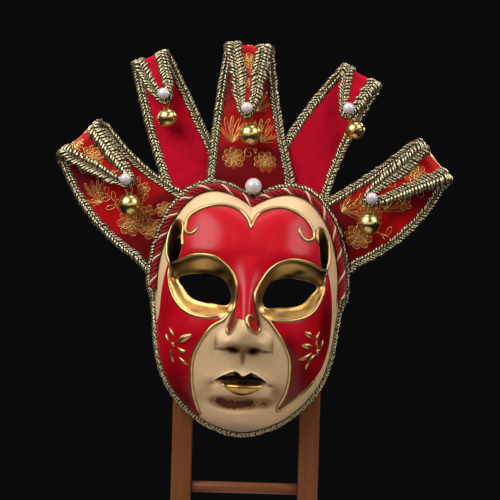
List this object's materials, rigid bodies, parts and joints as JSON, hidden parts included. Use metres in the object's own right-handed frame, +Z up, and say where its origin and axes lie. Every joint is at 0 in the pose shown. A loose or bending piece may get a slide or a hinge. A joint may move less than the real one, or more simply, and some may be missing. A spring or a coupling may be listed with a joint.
{
  "type": "venetian jester mask on a wooden stand",
  "caption": "Full-face jester mask with eye holes, folded cloth horns edged in braid and tipped with bells, hung on a plain wooden post stand.",
  "frame": {"origin": "on the floor under the middle of the whole object", "axes": "+Z up, +X to the right of someone who faces the mask, -Y the way the mask looks"},
  "size_m": [0.3591, 0.15, 0.4476],
  "materials": {
    "lacquered_face": "papier-mache, red and ivory lacquer with gilding",
    "brocade": "red satin brocade with gold figures",
    "velvet": "crimson velvet",
    "metallic_braid": "pale gold gimp braid",
    "twisted_cord": "red and cream twisted cord",
    "pearl": "pearl lustre",
    "bell_brass": "polished",
    "stand_wood": "satin varnish"
  },
  "bodies": {
    "root": {"face_shell": "lacquered_face", "rim_braid": "metallic_braid", "brow_cord": "twisted_cord", "horn_outer_left": "brocade", "braid_outer_left": "metallic_braid", "pearl_outer_left": "pearl", "bell_outer_left": "bell_brass", "horn_inner_left": "velvet", "braid_inner_left": "metallic_braid", "pearl_inner_left": "pearl", "bell_inner_left": "bell_brass", "horn_middle": "brocade", "braid_middle": "metallic_braid", "pearl_middle": "pearl", "bell_middle": "bell_brass", "horn_inner_right": "velvet", "braid_inner_right": "metallic_braid", "pearl_inner_right": "pearl", "bell_inner_right": "bell_brass", "horn_outer_right": "brocade", "braid_outer_right": "metallic_braid", "pearl_outer_right": "pearl", "bell_outer_right": "bell_brass", "pearl_brow": "pearl", "post_left": "stand_wood", "post_right": "stand_wood", "foot_left": "stand_wood", "foot_right": "stand_wood", "rung": "stand_wood", "rail": "stand_wood", "hanger": "stand_wood"}
  },
  "joints": []
}
